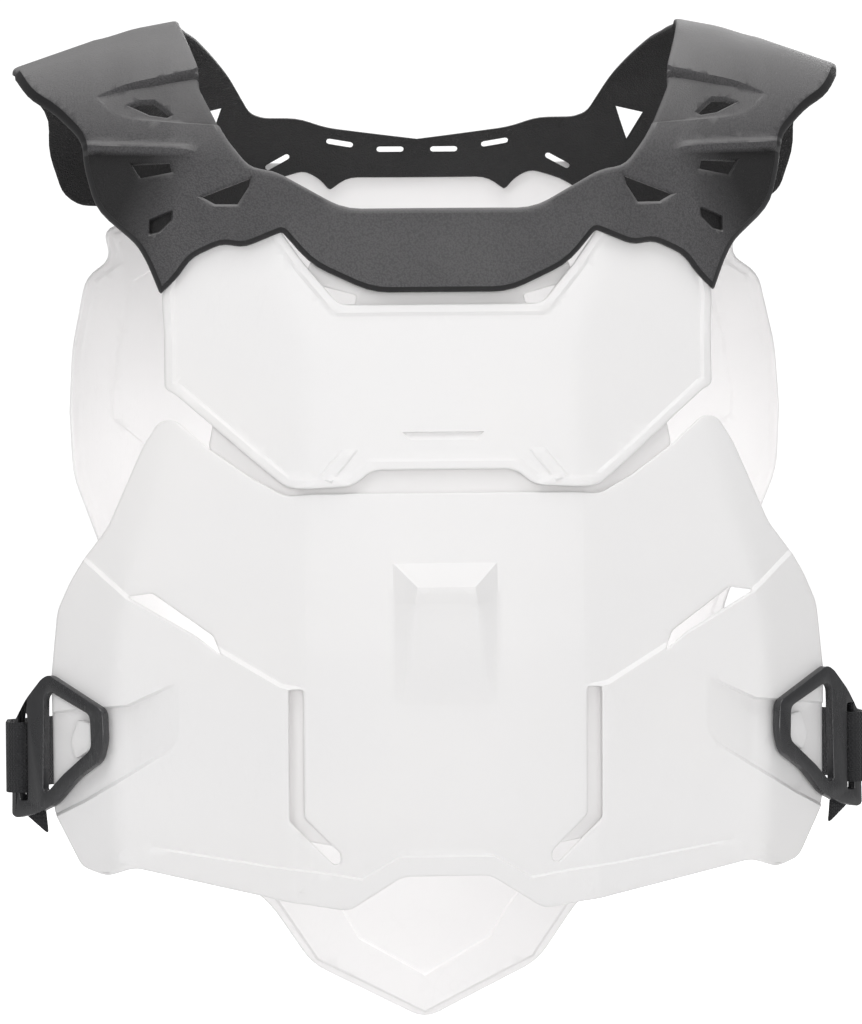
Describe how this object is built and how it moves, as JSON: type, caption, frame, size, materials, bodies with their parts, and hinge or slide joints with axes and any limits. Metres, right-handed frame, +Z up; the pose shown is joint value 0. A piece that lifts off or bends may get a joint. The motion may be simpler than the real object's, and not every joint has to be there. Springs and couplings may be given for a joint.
{
  "type": "roost deflector",
  "caption": "White moulded chest and back guard with a black rubber shoulder collar, webbing side straps and black buckles",
  "frame": {"origin": "On the wearer's shoulders, on the mirror plane between front and back", "axes": "+Z up, the chest faces -Y, +X to the viewer's right"},
  "size_m": [0.445, 0.264, 0.5376],
  "materials": {
    "collar_rubber": "grained satin",
    "shell_white": "semi-gloss moulded",
    "frame_white": "satin moulded",
    "buckle_black": "satin",
    "webbing_black": "woven"
  },
  "bodies": {
    "root": {"collar": "collar_rubber", "chest_plate": "shell_white", "abdomen_plate": "shell_white", "inner_frame": "frame_white", "back_plate": "shell_white", "buckle_right": "buckle_black", "buckle_left": "buckle_black", "strap_right": "webbing_black", "strap_left": "webbing_black"}
  },
  "joints": []
}
